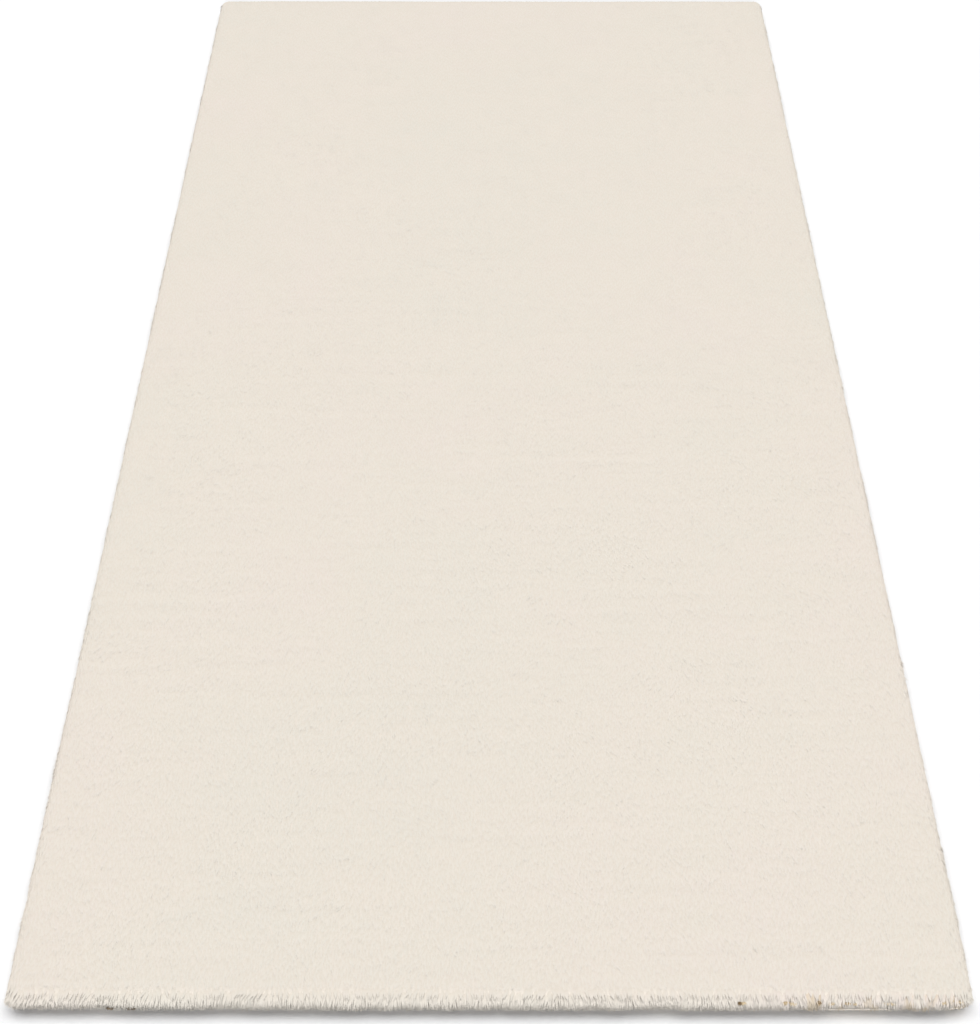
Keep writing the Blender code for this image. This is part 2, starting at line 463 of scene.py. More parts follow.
# %% Backing cloth
BACKING_CELLS = (3 * MM, 20 * MM)  # finer along X, where the lip curls
BACKING_RIM = 10 * MM
TOP_RINGS = np.array([10, 7, 4, 2]) * MM  # rings on its top, this far inside the outline
EDGE_ROUND = 0.8 * MM
EDGE_WAVER = 0.35 * MM
EDGE_LAYERS = (Layer(1.0, 30, 30, 11),)
EDGE_DRAW = 2.0 * MM  # under the front edge's fringe the cloth ends this much further in
LIP_REACH, LIP_CURL = 6.4 * MM, 9.6 * MM  # the lip turns out and up by this much
LIP_RINGS = 3  # over this many rings, after the first

edge_turn = np.linspace(0.0, math.pi, 7)
backing_inset = np.concatenate([TOP_RINGS, EDGE_ROUND * (1.0 - np.sin(edge_turn))])
backing_height = BACKING_TOP / 2 * (1.0 + np.cos(edge_turn))
backing_height = np.concatenate([np.full(len(TOP_RINGS), BACKING_TOP), backing_height])


def waver_edge(points, outward, ring):
    """Move the outer rings in by soft chance and near the front, and out and up where the rug is worn,
    in proportion to a weight that grows from ring to ring, and the upward move to its square."""
    x, y = points[..., 0], points[..., 1]
    weight = np.clip(ring - 1, 0, LIP_RINGS) / LIP_RINGS
    lip = worn(x, y) * np.clip(-outward[..., 1], 0.0, 1.0) ** 2
    shift = EDGE_WAVER * (soft_layers(x, y, EDGE_LAYERS) - 1.0)
    shift = shift + LIP_REACH * lip - EDGE_DRAW * by_the_front(y)
    points[..., 1] += corner_draw(x, y) * weight
    points[..., 2] += LIP_CURL * lip * weight**2
    points[..., :2] += outward * (shift * weight)[..., None]
    return points


rings = backing_inset, backing_height
backing_mesh = slab("backing_cloth", BACKING_CELLS, BACKING_RIM, *rings, waver_edge)
print("backing cloth:", len(backing_mesh.polygons), "faces")

# %% [markdown]
# The backing's weave is too fine to model, so the finish draws it: two sets of fine threads are the bands
# of two Wave Textures, which a Bump node turns into relief. A slow noise lets the cream drift.

# %% Backing finish
THREAD = 1.1 * MM  # from one thread of the backing to the next
WAVE_STEP = 0.314  # metres between the bands of a Wave Texture of scale 1
BACKING_CREAMS = ((0.89, 0.83, 0.73, 1.0), (0.85, 0.78, 0.68, 1.0))
THREAD_CREAM, THREAD_SHARE = (0.92, 0.87, 0.79, 1.0), 0.22
FINE_WAVER = {"Distortion": 0.6, "Detail": 1.0, "Detail Scale": 0.5}  # the threads aren't quite straight

backing_look = Look("backing_cloth", {"Roughness": 0.8, "Sheen Weight": 0.1, "Specular IOR Level": 0.3})
backing_place = backing_look.add("ShaderNodeTexCoord", {}, {}, output=3)
bands = {"Vector": backing_place, "Scale": WAVE_STEP / THREAD, **FINE_WAVER}
threads = [
    backing_look.add("ShaderNodeTexWave", {"wave_type": "BANDS", "bands_direction": way}, bands, output=1)
    for way in ("X", "Y")
]
weave = (threads[0] + threads[1]) * 0.5
slow = {"Vector": backing_place, "Scale": 14.0, "Detail": 3.0}
drift = backing_look.add("ShaderNodeTexNoise", {}, slow)
cream = backing_look.mix(drift, *BACKING_CREAMS)
backing_look.shade("Base Color", backing_look.mix(weave * THREAD_SHARE, cream, THREAD_CREAM))
relief = {"Strength": 0.35, "Distance": 0.3 * MM, "Height": weave}
backing_look.shade("Normal", backing_look.add("ShaderNodeBump", {}, relief))
backing_cloth = new_piece("backing_cloth", backing_mesh, backing_look.material)
print("backing finish:", len(backing_look.tree.nodes), "nodes")

# %% [markdown]
# ## The body of the pile
#
# From the outside a pile is only the ends of its fibres. What lies under them is hardly seen, so it is
# one solid body: a thick slab with a round rim. Its top rises and falls, as combed plush does, in broad
# lumps and in ridges that run across the rug and are stronger in its front half.

# %% Height of the pile
BODY_TOP = 22.6 * MM  # the locks' tips stand nearly 1 mm above it
LUMPS = (Layer(0.45, 130, 110, 21), Layer(0.25, 60, 50, 22))  # strengths in millimetres of rise
COMBED = (Layer(0.16, 110, 11, 23), Layer(0.10, 55, 6.5, 24))
LEAST_COMBED = 0.45  # the far end's ridges have this share of the near end's rise
COMB_REACH = 0.35  # metres each side of the middle, over which the rise changes


def swell(x, y):
    """The rise of the pile at a place: broad lumps plus combed ridges, which are long along X and short
    along Y, and grow towards the front by an S curve."""
    combed = between(LEAST_COMBED, 1.0, smooth_step((COMB_REACH - y) / (2 * COMB_REACH)))
    return MM * (soft_layers(x, y, LUMPS) + soft_layers(x, y, COMBED) * combed)


print("the pile rises by up to", sum(row.strength for row in LUMPS + COMBED), "mm")

# %% [markdown]
# The rim rounds over from the top to its widest place, low down, and tucks in again to its foot. Its
# profile is one function of a share of the way down, which the body and its locks both read. Under the
# fringe of the front edge the rim draws in, so that the fringe overhangs it.

# %% Rim of the pile
RIM_DEPTH = 9.5 * MM  # the rim's rounding, measured inwards
RIM_WIDEST = 4.5 * MM  # the height at which the rim is widest
RIM_BULGE = 2.2 * MM  # there it stands this far outside the backing
RIM_FULLNESS = 0.74  # under 1 the rounding is fuller than an ellipse
TUCK = 0.92  # the rim's widest place, as a share of the way down
TUCK_DEPTH = 1.6 * MM  # from there the rim draws in this far to its foot
TUCK_LEAN = 0.3  # radians by which the tuck faces down
FRONT_TUCK = 2.8 * MM  # under the front edge's fringe it draws in by this much more
WORN_DRAW = 0.5 * MM  # and this far in a worn stretch
RIM_WAVER = (Layer(0.4, 60, 60, 31), Layer(0.3, 22, 22, 32))  # strengths in millimetres


def rim_waver(x, y):
    """How far the rim wavers outwards at a place, and draws in under the fringe and where it is worn."""
    return MM * soft_layers(x, y, RIM_WAVER) - WORN_DRAW * worn(x, y) - FRONT_TUCK * by_the_front(y)


def profile(share):
    """The rim's profile at a share of its way down: inset, height, and how far its normal leans from
    upright. Down to TUCK it is a quarter of a superellipse, sine and cosine to the power of its fullness,
    and then the straight tuck under to the foot."""
    angle = np.clip(share / TUCK, 0.0, 1.0) * math.pi / 2
    sine, cosine = np.sin(angle), np.maximum(np.cos(angle), 0.0)
    tuck = np.clip((share - TUCK) / (1.0 - TUCK), 0.0, 1.0)
    wide, tall = RIM_DEPTH + RIM_BULGE, BODY_TOP - RIM_WIDEST
    inset = RIM_DEPTH - wide * sine**RIM_FULLNESS + TUCK_DEPTH * tuck
    height = RIM_WIDEST + tall * cosine**RIM_FULLNESS - (RIM_WIDEST - PILE_FOOT) * tuck
    steepness = 2.0 - RIM_FULLNESS
    lean = np.arctan2(tall * sine**steepness, wide * cosine**steepness) + TUCK_LEAN * tuck
    return inset, height, lean


def lift_share(height):
    """How much of the swell a height takes: none at the rim's widest place, and all at the top."""
    return np.clip((height - RIM_WIDEST) / (BODY_TOP - RIM_WIDEST), 0.0, 1.0)


print("rim", round((RIM_DEPTH + RIM_BULGE) / MM, 1), "mm wide and", round(BODY_TOP / MM, 1), "mm high")

# %% [markdown]
# The body is a slab with this profile, whose points are lifted by the swell and moved by the waver.

# %% Pile body
BODY_CELLS = (8 * MM, 8 * MM)
ring_shares = np.append(np.linspace(0.0, TUCK, 12), 1.0)
body_inset, body_height, _ = profile(ring_shares)


def swell_body(points, outward, ring):
    """Lift the top by the swell, less and less down the rim, and move the rim by its waver."""
    x, y = points[..., 0].copy(), points[..., 1].copy()
    points[..., 2] += swell(x, y) * lift_share(points[..., 2])
    points[..., :2] += outward * (rim_waver(x, y) * ring_shares[ring])[..., None]
    points[..., 1] += corner_draw(x, y) * ring_shares[ring]
    return points


body_mesh = slab("pile_body", BODY_CELLS, RIM_DEPTH, body_inset, body_height, swell_body)
print("pile body:", len(body_mesh.polygons), "faces")

# %% [markdown]
# The locks have to know the body's surface under them. It could be measured on the mesh, but the same
# profile, read as a height for each distance inside the outline, is quicker and smoother.

# %% Surface of the body
surface_shares = np.linspace(0.0, TUCK, 200)
SURFACE = profile(surface_shares)
FRONT_INSET = SURFACE[0] + FRONT_TUCK * surface_shares


def inside_of(x, y, spread):
    """How far a place is inside the outline widened by spread, and how far past each corner arc's middle
    it is: the distance to a rectangle with round corners."""
    y = y - corner_draw(x, y)
    past = np.stack([np.abs(x) - (HALF_X - CORNER_RADIUS), np.abs(y) - (HALF_Y - CORNER_RADIUS)], -1)
    inset = CORNER_RADIUS - np.linalg.norm(np.maximum(past, 0.0), axis=-1) - np.minimum(past.max(-1), 0.0)
    return inset + spread, past


def surface(x, y):
    """The body's height at a place, its normal, and how far inside the outline it is, by the rim's
    profile: the plain one, and at the front the tucked one, mixed by how far forwards the rim faces."""
    inset, past = inside_of(x, y, 0.0)
    nearest = past.max(-1, keepdims=True)
    ahead = np.where(nearest > 0.0, np.maximum(past, 0.0), past >= nearest)
    outward = unit(ahead) * np.sign(np.stack([x, y], -1))
    front = np.clip(-outward[..., 1], 0.0, 1.0)
    height, lean = (
        np.interp(inset, SURFACE[0][::-1], column[::-1]) * (1.0 - front)
        + np.interp(inset, FRONT_INSET[::-1], column[::-1]) * front
        for column in SURFACE[1:]
    )
    normal = np.concatenate([outward * np.sin(lean)[..., None], np.cos(lean)[..., None]], -1)
    return height + swell(x, y) * lift_share(height), normal, inset


print("height at the middle:", (surface(np.zeros(1), np.zeros(1))[0] / MM).round(2), "mm")

# %% [markdown]
# ## The finish of the pile
#
# The fibres are matt and cream, paler at the tips, where light passes through them, and deeper at the
# roots, where it is lost. Each lock has its own map: across it runs a row of tints, from cool cream
# through rose and tan to the brown of a parted root, which darkens to painted shade at the row's end,
# and up it the way from root to tip. The material reads only that map, so a lock's tint is chosen in
# numpy. Sheen gives plush its glow seen edge-on.


# %% Pile finish
def paint(red, green, blue):
    """A colour given as 0 to 255, as pictures store it, turned into the linear light shaders use."""
    share = np.array([red, green, blue]) / 255.0
    linear = np.where(share <= 0.04045, share / 12.92, ((share + 0.055) / 1.055) ** 2.4)
    return (*linear.tolist(), 1.0)


TINTS = (
    # place along the map, colour
    (0.00, paint(224, 220, 210)),
    (0.25, paint(228, 221, 210)),
    (0.50, paint(230, 220, 212)),
    (0.78, paint(214, 196, 164)),
    # the last two browns are painted shade: the roots' tan darkened as if in a parting or under the pile
    (0.90, paint(165, 142, 110)),
    (1.00, paint(58, 45, 34)),
)
# the roots' darker cream is painted shade, and the tips' paler cream is painted light
ROOT_SHADE, ROOT_SHARE = paint(238, 230, 219), 0.35  # multiplied in, and how strongly at the root
TIP_SHADE, TIP_SHARE = paint(232, 227, 219), 0.30  # mixed in, and how strongly at the tip
PLUSH = {"Roughness": 0.9, "Sheen Weight": 0.12, "Sheen Roughness": 0.5, "Specular IOR Level": 0.15}

pile_look = Look("cream_pile", PLUSH)
tuft_map = pile_look.add("ShaderNodeUVMap", {"uv_map": "OFBake"}, {})
tint_place, up_the_lock = (
    pile_look.add("ShaderNodeSeparateXYZ", {}, {"Vector": tuft_map}, output=axis) for axis in (0, 1)
)
colour = pile_look.add("ShaderNodeValToRGB", {"stops": TINTS}, {"Fac": tint_place})
colour = pile_look.mix((1.0 - up_the_lock) ** 2.0 * ROOT_SHARE, colour, ROOT_SHADE, "MULTIPLY")
colour = pile_look.mix(up_the_lock**3.0 * TIP_SHARE, colour, TIP_SHADE)
pile_look.shade("Base Color", colour)
print("pile finish:", len(pile_look.tree.nodes), "nodes and", len(TINTS), "tints")

# %% [markdown]
# The body under the locks shows only in the gaps between them. It has nearly the same cream, or the gaps
# would look like specks, mottled by a Noise Texture on its own place, and a fine grain in its Bump.

# %% Body finish
body_look = Look("pile_body", {"Roughness": 0.95, "Specular IOR Level": 0.1})
body_place = body_look.add("ShaderNodeTexCoord", {}, {}, output=3)
mottle = body_look.add("ShaderNodeTexNoise", {}, {"Vector": body_place, "Scale": 60.0, "Detail": 3.0})
body_look.shade("Base Color", body_look.mix(mottle, paint(225, 216, 204), paint(229, 221, 210)))
grain = body_look.add("ShaderNodeTexNoise", {}, {"Vector": body_place, "Scale": 900.0, "Detail": 2.0})
grain_relief = {"Strength": 0.4, "Distance": 0.4 * MM, "Height": grain}
body_look.shade("Normal", body_look.add("ShaderNodeBump", {}, grain_relief))
pile_body = new_piece("pile_body", body_mesh, body_look.material)
print("body finish:", len(body_look.tree.nodes), "nodes")

# %% [markdown]
# ## A lock of fibres
#
# Fibres of plush cling together in flat pointed locks. Blender's hair could draw every fibre, but hair is
# not a mesh that other programs can take. One lock here is a flattened spike of four triangles: a root of
# three points, two at its sides and one on its back, and a tip. That is the least that a closed solid can
# have, and a rug needs two hundred thousand of them. Their normals lean towards those of the whole pile.


# %% Lock maker
LOCK_FACES = np.array([(1, 0, 3), (2, 1, 3), (0, 2, 3), (0, 1, 2)])  # underside, right, left and root
LOCK_MAP = np.array([(-0.012, 0.0), (0.012, 0.02), (0.0, 0.05), (0.0, 1.0)])  # offsets from its tint
LOCK_BACK = 0.42  # how far the back stands above the sides, in half widths
TIP_LEAN = 0.5  # how much the normal at the tip leans along the lock


def locks(name, roots, directions, lengths, widths, ground, shading, tints, softness):
    """Closed spikes, one for each root. The sides are root plus or minus half a width along the cross
    product of the direction and the ground's normal, the back is root plus LOCK_BACK half widths along
    the normal of the direction, and the tip is root plus direction times length. The spike's own normals
    are mixed with those in shading, by softness."""
    sideways = unit(np.cross(directions, ground))
    back = np.cross(sideways, directions)
    half = widths[:, None] / 2
    corners = [
        roots - sideways * half,
        roots + sideways * half,
        roots + back * half * LOCK_BACK,
        roots + directions * lengths[:, None],
    ]
    points = np.stack(corners, 1).reshape(-1, 3)
    at_tip = unit(back + directions * TIP_LEAN)
    own = np.stack([unit(back - sideways), unit(back + sideways), back, at_tip], 1)
    normals = unit(shading[:, None, :] * softness + own * (1.0 - softness)).reshape(-1, 3)
    places = (np.outer(tints, (1.0, 0.0))[:, None] + LOCK_MAP).reshape(-1, 2)
    faces = (LOCK_FACES + 4 * np.arange(len(roots))[:, None, None]).reshape(-1, 3)
    return new_piece(name, mesh_of_triangles(name, points, faces, normals, places), pile_look.material)


print("lock maker is ready:", len(LOCK_FACES), "faces a lock")

# %% [markdown]
# ## Where the field's locks stand
#
# The field's locks stand on a grid whose every other row is shifted by half a step, and chance moves each
# lock by up to half a step more, so that no rows show. On three sides they begin a little outside the
# outline, and at the front close to it, where the rim's own locks make the fringe with them.

# %% Field grid
FIELD_PITCH = 2.72 * MM
FIELD_EDGE, FRONT_EDGE = -1.5 * MM, -0.4 * MM  # how far inside the outline they begin: outside, under 0

chance = np.random.default_rng(5)
columns = np.arange(-HALF_X + FIELD_EDGE, HALF_X - FIELD_EDGE, FIELD_PITCH)
rows = np.arange(-HALF_Y + FIELD_EDGE, HALF_Y - FIELD_EDGE, FIELD_PITCH)
grid_x, grid_y = (axis.ravel() for axis in np.meshgrid(columns, rows))
grid_x = grid_x + FIELD_PITCH / 2 * (np.round(grid_y / FIELD_PITCH) % 2)
grid_x = grid_x + chance.uniform(-0.5, 0.5, grid_x.size) * FIELD_PITCH
grid_y = grid_y + chance.uniform(-0.5, 0.5, grid_y.size) * FIELD_PITCH
inside = surface(grid_x, grid_y)[2] > between(FIELD_EDGE, FRONT_EDGE, in_the_fringe(grid_y))
grid_x, grid_y = grid_x[inside], grid_y[inside]
print("field locks:", grid_x.size)

# %% [markdown]
# ## Tints
#
# The cream of a real pile drifts slowly between cool and rose, and each lock differs a little from the
# next. Along the right end of the front edge, where the rug is worn, soft patches turn tan.

# %% Tints of the locks
CREAM_TINT = 0.26
TINT_CHANCE = 0.035
TINT_DRIFT = (Layer(0.09, 160, 200, 41), Layer(0.05, 50, 30, 42))
TAN_TINT = 0.72
TAN_START, TAN_FADE = 235 * MM, 20 * MM  # along X
TAN_DEPTH = 9 * MM  # behind the front edge
TAN_PATCHES = (Layer(1.2, 7, 5, 57),)


def lock_tints(x, y, patch_x, patch_y, chance):
    """Each lock's place in the row of tints: the cream's plus broad drifts and a little chance, and then
    part of the way to tan in soft patches, which are read at a place of their own."""
    drift = soft_layers(x, y, TINT_DRIFT)
    tints = np.clip(CREAM_TINT + drift + chance.normal(0.0, TINT_CHANCE, x.size), 0.03, 0.5)
    patches = smooth_step(0.5 + soft_layers(patch_x, patch_y, TAN_PATCHES))
    patches = smooth_step((patch_x - TAN_START) / TAN_FADE) * in_the_fringe(patch_y, TAN_DEPTH) * patches
    return between(tints, TAN_TINT, patches)


print("most locks are near the tint at", CREAM_TINT)

# %% [markdown]
# ## How far the tips reach
#
# The ragged edge of a real pile is where its tips end. Each lock gets its own margin inside the greatest
# reach, and one whose tip would pass it is shortened. At the front whole clumps bulge and draw back too,
# and the fringe draws in towards the floor, like an eave, so that its lower tips stay in shade.

# %% Reach of the tips
RAGGED = 0.7 * MM  # the tips at the edge end unevenly, by up to this much
FRONT_RAGGED = 1.7 * MM  # and by this much more at the front
LEAST_MARGIN = 0.1 * MM
BUMPS = 1.9 * MM  # the whole fringe of the front edge bulges and draws back by this much
BUMP_LAYERS = (Layer(0.5, 13, 100, 55), Layer(0.25, 5, 100, 56))
POINTS = 0.8 * MM  # and its fine points by this much
POINT_LAYERS = (Layer(0.5, 1.9, 100, 58),)
WORN_BUMPS = 0.7  # a worn stretch loses this share of its bumps
FRINGE_EXTRA = 4.2 * MM  # the front edge's tips reach this much further than the others
FRINGE_HEIGHT = 13.0 * MM  # under this height the fringe draws in
UNDERCUT = 0.48  # by this much for each unit of height
LOWEST_TIP = 0.9 * MM
LENGTH_SHARES = np.linspace(1.0, 0.2, 25)[:, None]


def fringe_margin(x, y, chance):
    """How far inside the greatest reach the tips end: by a ragged share, and at the front by soft bumps
    and fine points too. A bump or a point is one half plus its soft chance along X."""
    front, level = in_the_fringe(y), 0.0 * x
    bumps = BUMPS * np.clip(0.5 + soft_layers(x, level, BUMP_LAYERS), 0.0, 1.2)
    points = POINTS * (0.5 + soft_layers(x, level, POINT_LAYERS))
    edge = bumps * (1.0 - WORN_BUMPS * worn(x, y)) + points
    ragged = (RAGGED + FRONT_RAGGED * front) * (1.0 - chance.uniform(0.0, 1.0, x.size) ** 3)
    return ragged + front * edge + LEAST_MARGIN


def hold_inside(roots, directions, lengths, margin):
    """Shorten the locks whose tips would leave the pile's outline less a margin: of a row of shares of
    its length, a lock takes the longest whose tip is inside. At the front the outline is wider by
    FRINGE_EXTRA, less UNDERCUT times the tip's depth under FRINGE_HEIGHT."""
    tips = roots + directions * (lengths * LENGTH_SHARES)[..., None]
    front = in_the_fringe(roots[:, 1])
    spread = pile_high[0] - HALF_X + FRINGE_EXTRA * front
    spread = spread - UNDERCUT * front * np.maximum(FRINGE_HEIGHT - tips[..., 2], 0.0)
    inside = inside_of(tips[..., 0], tips[..., 1], spread)[0] > margin
    inside &= (tips[..., 2] > LOWEST_TIP) & (tips[..., 2] < pile_high[2])
    longest = LENGTH_SHARES[inside.argmax(0), 0]
    return lengths * np.where(inside.any(0), longest, LENGTH_SHARES[-1, 0])


print("tips reach", round((pile_high[0] - HALF_X + FRINGE_EXTRA) / MM, 1), "mm past the backing")

# %% [markdown]
# ## The locks of the field
#
# The nap of the rug, the way its pile lies, runs towards its front edge. The locks lean with it, sway by
# soft chance, and lie low, so that each covers the roots of the next like a shingle. A lock aims at the
# surface under its tip. Where the front edge turns over, the surface falls away, and a lock leaves it
# along its tangent instead and juts out, as the top of the fringe.

# %% Field locks
FIELD_LENGTH = 9.2 * MM
FIELD_WIDTH = 3.6 * MM
FIELD_SINK = 0.3 * MM  # the roots are this far under the surface
LIE = 3.4  # degrees above the body's surface
LIE_CHANCE = 0.6
LIE_LAYERS = (Layer(1.0, 12, 9, 53),)  # degrees
STEEPEST = 34.0  # degrees below level, at most
SWAY_CHANCE = 9.0
SWAY_LAYERS = (Layer(22.0, 45, 35, 51), Layer(14.0, 10, 10, 52))  # degrees
SIDE_CALM = 0.7  # the share of its sway that a lock near the long sides loses
SIDE_START = 0.02  # metres inside the side where that begins
EDGE_ZONE = 15 * MM  # only locks this near the outline can pass it
SHADE_UP = 1.6  # the locks shade as if they faced upwards by this much more
FRONT_SHADE_UP = 1.6  # and by as much again along the front edge
FIELD_PIECES = 4
UP = np.array([0.0, 0.0, 1.0])


def field_locks(x, y, chance):
    """What locks() takes, for the field. A lock's slope is the drop to the surface under its tip, or the
    surface's own where that is downhill and less steep, plus its lie."""
    count = x.size
    height, normal, inset = surface(x, y)
    slope_x = (swell(x + MM, y) - swell(x - MM, y)) / (2 * MM)
    slope_y = (swell(x, y + MM) - swell(x, y - MM)) / (2 * MM)
    ground = unit(normal - np.stack([slope_x, slope_y, np.zeros(count)], 1))
    roots = np.stack([x, y, height], 1) - normal * FIELD_SINK
    lengths = FIELD_LENGTH * chance.uniform(0.82, 1.12, count)
    widths = FIELD_WIDTH * chance.uniform(0.8, 1.15, count)
    sway = np.radians(soft_layers(x, y, SWAY_LAYERS) + chance.normal(0.0, SWAY_CHANCE, count))
    side = smooth_step((x * x - (HALF_X - SIDE_START) ** 2) / SIDE_START)
    sway = sway * (1.0 - SIDE_CALM * side)
    lie = np.radians(LIE + soft_layers(x, y, LIE_LAYERS) + chance.normal(0.0, LIE_CHANCE, count))
    flat = np.stack([np.sin(sway), -np.cos(sway)], 1)
    tip_x, tip_y = x + flat[:, 0] * lengths, y + flat[:, 1] * lengths
    drop = (surface(tip_x, tip_y)[0] - height) / lengths
    tangent = -(normal[:, :2] * flat).sum(1) / np.maximum(normal[:, 2], 0.1)
    drop = np.where(tangent < 0.0, np.maximum(drop, tangent), drop)
    drop = np.maximum(drop + np.tan(lie), -math.tan(math.radians(STEEPEST)))
    directions = unit(np.column_stack([flat, drop]))
    margin = fringe_margin(x, y, chance)
    edge = np.flatnonzero(inset < EDGE_ZONE)
    lengths[edge] = hold_inside(roots[edge], directions[edge], lengths[edge], margin[edge])
    shading = unit(ground + np.outer(SHADE_UP + FRONT_SHADE_UP * in_the_fringe(y), UP))
    return roots, directions, lengths, widths, ground, shading, lock_tints(x, y, x, y, chance)


by_row = np.argsort(grid_y, kind="stable")
pile_pieces = []
for number, share in enumerate(np.array_split(by_row, FIELD_PIECES), 1):
    parts = field_locks(grid_x[share], grid_y[share], chance)
    pile_pieces.append(locks(f"field_locks_{number}", *parts, softness=0.985))
print("field locks:", grid_x.size, "in", FIELD_PIECES, "pieces")

# %% [markdown]
# ## Where the rim's locks stand
#
# Round the edge the pile turns over, and its finer fibres show against the ground. Their roots stand in
# columns down the rim, about twice as close along the front edge, which is seen nearest. To space them,
# the wanted density is summed up along the outline, and equal steps of the sum are read as distances.

# %% Rim columns
RIM_COLUMNS = 2750
RIM_ROWS = 16
FRONT_SHARE = 2.1  # the front edge has this many times the locks of the other sides

table = np.linspace(0.0, PERIMETER, 4001)
ahead = np.clip(-on_outline(table)[1][:, 1], 0.0, 1.0)
density = between(1.0, FRONT_SHARE, ahead)
filled = np.concatenate([[0.0], np.cumsum((density[1:] + density[:-1]) / 2)])
columns_at = np.interp(np.linspace(0.0, filled[-1], RIM_COLUMNS + 1), filled, table)
column_steps = np.diff(columns_at) / MM
print(f"rim columns every {column_steps.min():.2f} to {column_steps.max():.2f} mm")

# %% [markdown]
# ## The locks of the rim
#
# On three sides the nap pulls the locks to the front and their weight pulls them down. Both pulls are
# laid along the rim's surface, and the lock rises a little from it: the sides' locks lie with the edge,
# and the far edge's, where the nap runs up the rim, stand. The front edge's locks are longer and jut out
# in tiers, the highest nearly level and the lowest steep, each under the one above it.

# %% Rim locks
RIM_START = 0.42  # the rim's locks begin this share of the way down
FRONT_START = 0.20  # and those of the front edge this share
FRONT_CROWD = 1.3  # over 1 they crowd towards the top
FRONT_TURN = 1.4  # over 1 the front's manner starts sooner round its corners
RIM_SINK, FRONT_SINK = 0.5 * MM, 0.1 * MM  # how far under the surface the roots are, and more in front
RIM_LENGTH = 6.8 * MM
HIGH_LENGTH, LOW_LENGTH = 1.15, 0.80  # shares of it for the highest and the lowest locks
FRONT_LONGER, CROWN_LONGER = 0.45, 0.25  # the front's locks, and more so its highest ones
WORN_SHORTER = 0.2
RIM_WIDTH = 2.2 * MM
HIGH_WIDTH, LOW_WIDTH = 1.3, 0.8  # shares of it
HIGH_WEIGHT, LOW_WEIGHT = 0.3, 1.0  # how hard their weight pulls, with the nap's pull as 1
FAR_NAP = 1.6  # over 1 the far edge's locks are pulled outwards, so that they stand
RIM_RISE = 0.22  # the lock rises from the surface by this much of its pull along it
RISE_CHANCE, FALL_CHANCE, CLUMP_CHANCE = 0.06, 5.0, 0.16
RISE_LAYERS = (Layer(0.07, 13, 400, 63),)  # along the outline, and down the rim in thousandths
FRINGE_DOWN, FRINGE_STEEP = 14.0, 62.0  # degrees below level, of the highest and the lowest front locks
FRINGE_CLUMP = 0.7  # how much of their clumping the front's locks keep
CLUMP_LAYERS = (Layer(0.42, 11, 900, 61), Layer(0.22, 4.2, 500, 62))
RIM_PIECES = 2


def rim_locks(chance):
    """Each lock's distance along the outline, and what locks() takes. At the front they jut out, from
    FRINGE_DOWN for the highest to FRINGE_STEEP for the lowest, and elsewhere the nap's pull and their
    weight are laid along the surface. Both lean sideways into clumps."""
    count = RIM_COLUMNS * RIM_ROWS
    column, row = np.divmod(np.arange(count), RIM_ROWS)
    along = (column + chance.uniform(0.0, 1.0, count)) / RIM_COLUMNS
    distance = np.interp(along, np.linspace(0.0, 1.0, RIM_COLUMNS + 1), columns_at)
    down = (row + chance.uniform(0.0, 1.0, count)) / RIM_ROWS
    place, outward = on_outline(distance)
    x, y = place.T
    front = smooth_step(-outward[:, 1] * FRONT_TURN)[:, None]
    far = np.clip(outward[:, 1], 0.0, 1.0)[:, None]
    start = between(RIM_START, FRONT_START, front[:, 0])
    share = between(start, 1.0, down ** between(1.0, FRONT_CROWD, front[:, 0]))

    rim_inset, height, lean = profile(share)
    flat = place + outward * (rim_waver(x, y) * share - rim_inset)[:, None]
    flat[:, 1] += corner_draw(x, y) * share
    outward = np.column_stack([outward, np.zeros(count)])
    ground = outward * np.sin(lean)[:, None] + UP * np.cos(lean)[:, None]
    roots = np.column_stack([flat, height]) - ground * (RIM_SINK + FRONT_SINK * front)

    tangent = np.cross(UP, outward)
    clump = soft_layers(distance, share, CLUMP_LAYERS)
    clump = (clump + chance.normal(0.0, CLUMP_CHANCE, count))[:, None]
    weight = between(HIGH_WEIGHT, LOW_WEIGHT, share)[:, None]
    pull = np.array([0.0, -1.0, 0.0]) * (1.0 - FAR_NAP * far) - UP * weight + tangent * clump
    pull = pull - ground * (pull * ground).sum(1, keepdims=True)
    rise = RIM_RISE + soft_layers(distance, share, RISE_LAYERS) + chance.normal(0.0, RISE_CHANCE, count)
    fall = between(FRINGE_DOWN, FRINGE_STEEP, (share - FRONT_START) / (1.0 - FRONT_START))
    fall = np.radians(fall + chance.normal(0.0, FALL_CHANCE, count))[:, None]
    jut = outward * np.cos(fall) - UP * np.sin(fall) + tangent * clump * FRINGE_CLUMP
    directions = unit(unit(pull + ground * rise[:, None]) * (1.0 - front) + unit(jut) * front)

    lengths = RIM_LENGTH * between(HIGH_LENGTH, LOW_LENGTH, share) * chance.uniform(0.8, 1.2, count)
    lengths = lengths * (1.0 + CROWN_LONGER * front[:, 0] * (1.0 - down))
    lengths = lengths * (1.0 + FRONT_LONGER * front[:, 0]) * (1.0 - WORN_SHORTER * worn(x, y))
    widths = RIM_WIDTH * between(HIGH_WIDTH, LOW_WIDTH, down) * chance.uniform(0.7, 1.2, count)
    tints = lock_tints(x, y, flat[:, 0], flat[:, 1], chance)
    lengths = hold_inside(roots, directions, lengths, fringe_margin(x, y, chance))
    shading = unit(ground + UP * (SHADE_UP + FRONT_SHADE_UP * front))
    return distance, roots, directions, lengths, widths, ground, shading, tints


distance, *rim_parts = rim_locks(np.random.default_rng(6))
by_distance = np.argsort(distance, kind="stable")
for number, share in enumerate(np.array_split(by_distance, RIM_PIECES), 1):
    parts = (part[share] for part in rim_parts)
    pile_pieces.append(locks(f"rim_locks_{number}", *parts, softness=0.97))
print("rim locks:", distance.size, "in", RIM_PIECES, "pieces")
